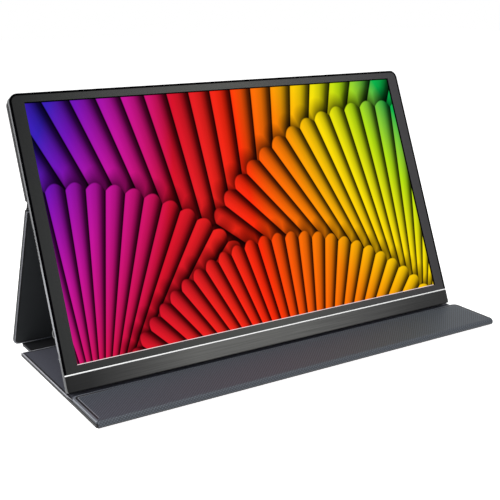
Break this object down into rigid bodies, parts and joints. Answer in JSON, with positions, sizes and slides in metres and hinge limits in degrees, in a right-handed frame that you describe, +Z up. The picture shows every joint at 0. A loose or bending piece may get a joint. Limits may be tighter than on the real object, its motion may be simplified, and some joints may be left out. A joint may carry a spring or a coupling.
{
  "type": "portable monitor with folding stand cover",
  "caption": "Thin portable monitor leaning back in a folding leather-look cover whose leg panel, base and folded front flap make its stand.",
  "frame": {"origin": "Middle of the underside of the cover's base panel, on the table it stands on.", "axes": "X runs along the screen to its right as seen from the front, Y from front to back, Z up."},
  "size_m": [0.3703, 0.1692, 0.2067],
  "materials": {
    "housing_metal": "satin",
    "bezel_plastic": "fine matt",
    "brushed_strip": "brushed, dark anodised",
    "bright_line": "bright",
    "display_glass": "glossy",
    "optical_film": "milky",
    "clear_acrylic": "clear",
    "circuit_board": "green varnish",
    "sheet_steel": "plain",
    "flat_cable": "amber film",
    "black_plastic": "matt",
    "button_metal": "satin",
    "clear_pin": "clear",
    "magnet_metal": "plated",
    "cover_leather": "fine grained artificial leather",
    "cover_lining": "fine matt lining",
    "stiff_board": "pressed fibre board"
  },
  "bodies": {
    "base_cover": {"base_skin": "cover_leather", "base_board": "stiff_board", "base_lining": "cover_lining", "strip_skin": "cover_leather", "strip_board": "stiff_board", "strip_lining": "cover_lining", "base_crease": "cover_leather", "front_crease": "cover_leather", "leg_crease": "cover_leather"},
    "front_flap": {"flap_skin": "cover_leather", "flap_board": "stiff_board", "flap_lining": "cover_lining"},
    "leg": {"leg_skin": "cover_leather", "leg_board": "stiff_board", "leg_lining": "cover_lining", "upper_crease": "cover_leather"},
    "menu_stem": {"menu_switch": "black_plastic"},
    "menu_key": {"menu_rocker": "button_metal"},
    "power_key": {"power_button": "black_plastic"},
    "screen_unit": {"rear_housing": "housing_metal", "front_bezel": "bezel_plastic", "chin_trim": "brushed_strip", "accent_line": "bright_line", "lcd_panel": "display_glass", "diffuser_films": "optical_film", "light_guide": "clear_acrylic", "reflector_sheet": "optical_film", "led_bar": "circuit_board", "backlight_tray": "sheet_steel", "driver_board": "circuit_board", "board_screws": "sheet_steel", "display_cable": "flat_cable", "control_board": "circuit_board", "control_cable": "flat_cable", "left_speaker": "black_plastic", "right_speaker": "black_plastic", "headphone_jack": "black_plastic", "usb_c_socket_lower": "sheet_steel", "usb_c_socket_upper": "sheet_steel", "mini_video_socket": "sheet_steel", "status_light": "clear_pin", "steel_strip": "sheet_steel", "upper_skin": "cover_leather", "upper_board": "stiff_board", "upper_lining": "cover_lining", "cover_magnets": "magnet_metal"}
  },
  "joints": [
    {"name": "flap_fold", "type": "hinge", "parent": "base_cover", "child": "front_flap", "pos_m": [0, -0.07345, 0.00275], "axis": [1, 0, 0], "range_deg": [0, 179.5], "deforming": ["front_crease"]},
    {"name": "leg_fold", "type": "hinge", "parent": "base_cover", "child": "leg", "pos_m": [0, 0.094, 0.0013], "axis": [-1, 0, 0], "range_deg": [0, 112.88], "deforming": ["leg_crease"]},
    {"name": "crease_fold", "type": "hinge", "parent": "leg", "child": "screen_unit", "pos_m": [0, 0.04141, 0.1259], "axis": [1, 0, 0], "range_deg": [0, 46.48], "deforming": ["upper_crease"]},
    {"name": "menu_press", "type": "slide", "parent": "screen_unit", "child": "menu_stem", "axis": [1, 0, 0], "range_m": [0, 0.0004], "stiffness_N_per_m": 2000},
    {"name": "menu_tilt", "type": "hinge", "parent": "menu_stem", "child": "menu_key", "pos_m": [-0.18185, -0.00101, 0.04315], "axis": [0, 0.9171, -0.3987], "range_deg": [-4, 4], "stiffness_Nm_per_rad": 0.02},
    {"name": "power_press", "type": "slide", "parent": "screen_unit", "child": "power_key", "axis": [1, 0, 0], "range_m": [0, 0.0004], "stiffness_N_per_m": 2000}
  ],
  "couplings": [
    {"joint": "crease_fold", "follows": "leg_fold", "ratio": 0.4109}
  ]
}
